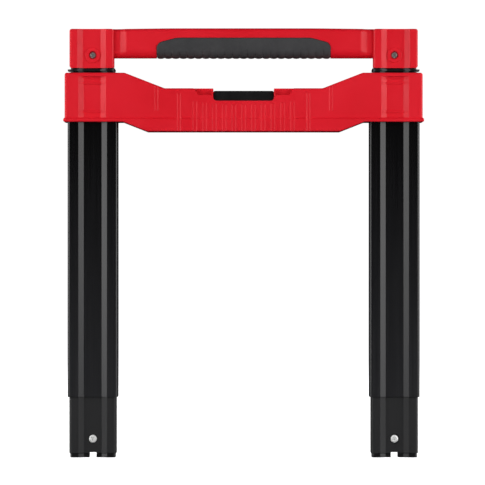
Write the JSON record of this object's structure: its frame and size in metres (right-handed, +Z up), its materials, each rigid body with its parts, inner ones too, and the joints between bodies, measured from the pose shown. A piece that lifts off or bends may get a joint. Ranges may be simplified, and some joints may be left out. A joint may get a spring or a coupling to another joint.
{
  "type": "telescoping pull handle",
  "caption": "Collapsed two-leg telescoping pull handle with a padded hand bar, nested channelled tubes and a cross bracket with a release button.",
  "frame": {"origin": "on the flat rear face of the cross bracket's cover, on the centre line, half way up the bracket's slim middle part", "axes": "+Z up along the legs, +X to the right seen from the front, +Y out of the rear face into the wall of the box that holds the handle; the front faces -Y"},
  "size_m": [0.4146, 0.04, 0.4942],
  "materials": {
    "red_plastic": "moulded red plastic with a fine satin texture",
    "black_plastic": "moulded black plastic, satin",
    "grip_rubber": "soft over-moulded rubber, matte",
    "black_anodised": "gloss black anodised extrusion",
    "dark_anodised": "satin dark anodised extrusion",
    "zinc_steel": "zinc-plated fasteners, springs and pins"
  },
  "bodies": {
    "fixed_stage": {"bracket_body": "red_plastic", "bracket_rear_cover": "red_plastic", "outer_tube_left": "black_anodised", "outer_tube_right": "black_anodised", "guide_bush_left": "black_plastic", "guide_bush_right": "black_plastic", "cover_screw_1": "zinc_steel", "cover_screw_2": "zinc_steel", "cover_screw_3": "zinc_steel", "cover_screw_4": "zinc_steel", "cover_screw_5": "zinc_steel", "cover_screw_6": "zinc_steel", "button_spring": "zinc_steel"},
    "middle_stage": {"middle_tube_left": "dark_anodised", "middle_tube_right": "dark_anodised", "stage_collar_left": "black_plastic", "stage_collar_right": "black_plastic", "bottom_plug_left": "black_plastic", "bottom_plug_right": "black_plastic", "plug_screw_left": "zinc_steel", "plug_screw_right": "zinc_steel"},
    "handle_stage": {"inner_tube_left": "dark_anodised", "inner_tube_right": "dark_anodised", "guide_block_left": "black_plastic", "guide_block_right": "black_plastic", "handle_front_shell": "red_plastic", "handle_rear_shell": "red_plastic", "grip": "grip_rubber", "cap_nut_left": "zinc_steel", "cap_nut_right": "zinc_steel", "cap_screw_left": "zinc_steel", "cap_screw_right": "zinc_steel", "detent_spring_left": "zinc_steel", "detent_spring_right": "zinc_steel", "shell_screw_1": "zinc_steel", "shell_screw_2": "zinc_steel", "shell_screw_3": "zinc_steel", "shell_screw_4": "zinc_steel"},
    "release_button": {"release_button": "black_plastic"},
    "lock_bolt_left": {"lock_bolt_left": "black_plastic"},
    "lock_bolt_right": {"lock_bolt_right": "black_plastic"},
    "detent_left": {"detent_pin_left": "zinc_steel"},
    "detent_right": {"detent_pin_right": "zinc_steel"}
  },
  "joints": [
    {"name": "middle_stage_slide", "type": "slide", "parent": "fixed_stage", "child": "middle_stage", "axis": [0, 0, 1], "range_m": [0, 0.23]},
    {"name": "handle_stage_slide", "type": "slide", "parent": "middle_stage", "child": "handle_stage", "axis": [0, 0, 1], "range_m": [0, 0.23]},
    {"name": "button_press", "type": "slide", "parent": "fixed_stage", "child": "release_button", "axis": [0, 0, -1], "range_m": [0, 0.006], "stiffness_N_per_m": 500, "springref_m": -0.006, "deforming": ["button_spring"]},
    {"name": "lock_bolt_left_slide", "type": "slide", "parent": "fixed_stage", "child": "lock_bolt_left", "axis": [1, 0, 0], "range_m": [0, 0.006]},
    {"name": "lock_bolt_right_slide", "type": "slide", "parent": "fixed_stage", "child": "lock_bolt_right", "axis": [-1, 0, 0], "range_m": [0, 0.006]},
    {"name": "detent_left_slide", "type": "slide", "parent": "handle_stage", "child": "detent_left", "axis": [1, 0, 0], "range_m": [0, 0.0025], "stiffness_N_per_m": 700, "springref_m": -0.003, "deforming": ["detent_spring_left"]},
    {"name": "detent_right_slide", "type": "slide", "parent": "handle_stage", "child": "detent_right", "axis": [-1, 0, 0], "range_m": [0, 0.0025], "stiffness_N_per_m": 700, "springref_m": -0.003, "deforming": ["detent_spring_right"]}
  ],
  "couplings": [
    {"joint": "lock_bolt_left_slide", "follows": "button_press", "ratio": 1},
    {"joint": "lock_bolt_right_slide", "follows": "button_press", "ratio": 1}
  ]
}
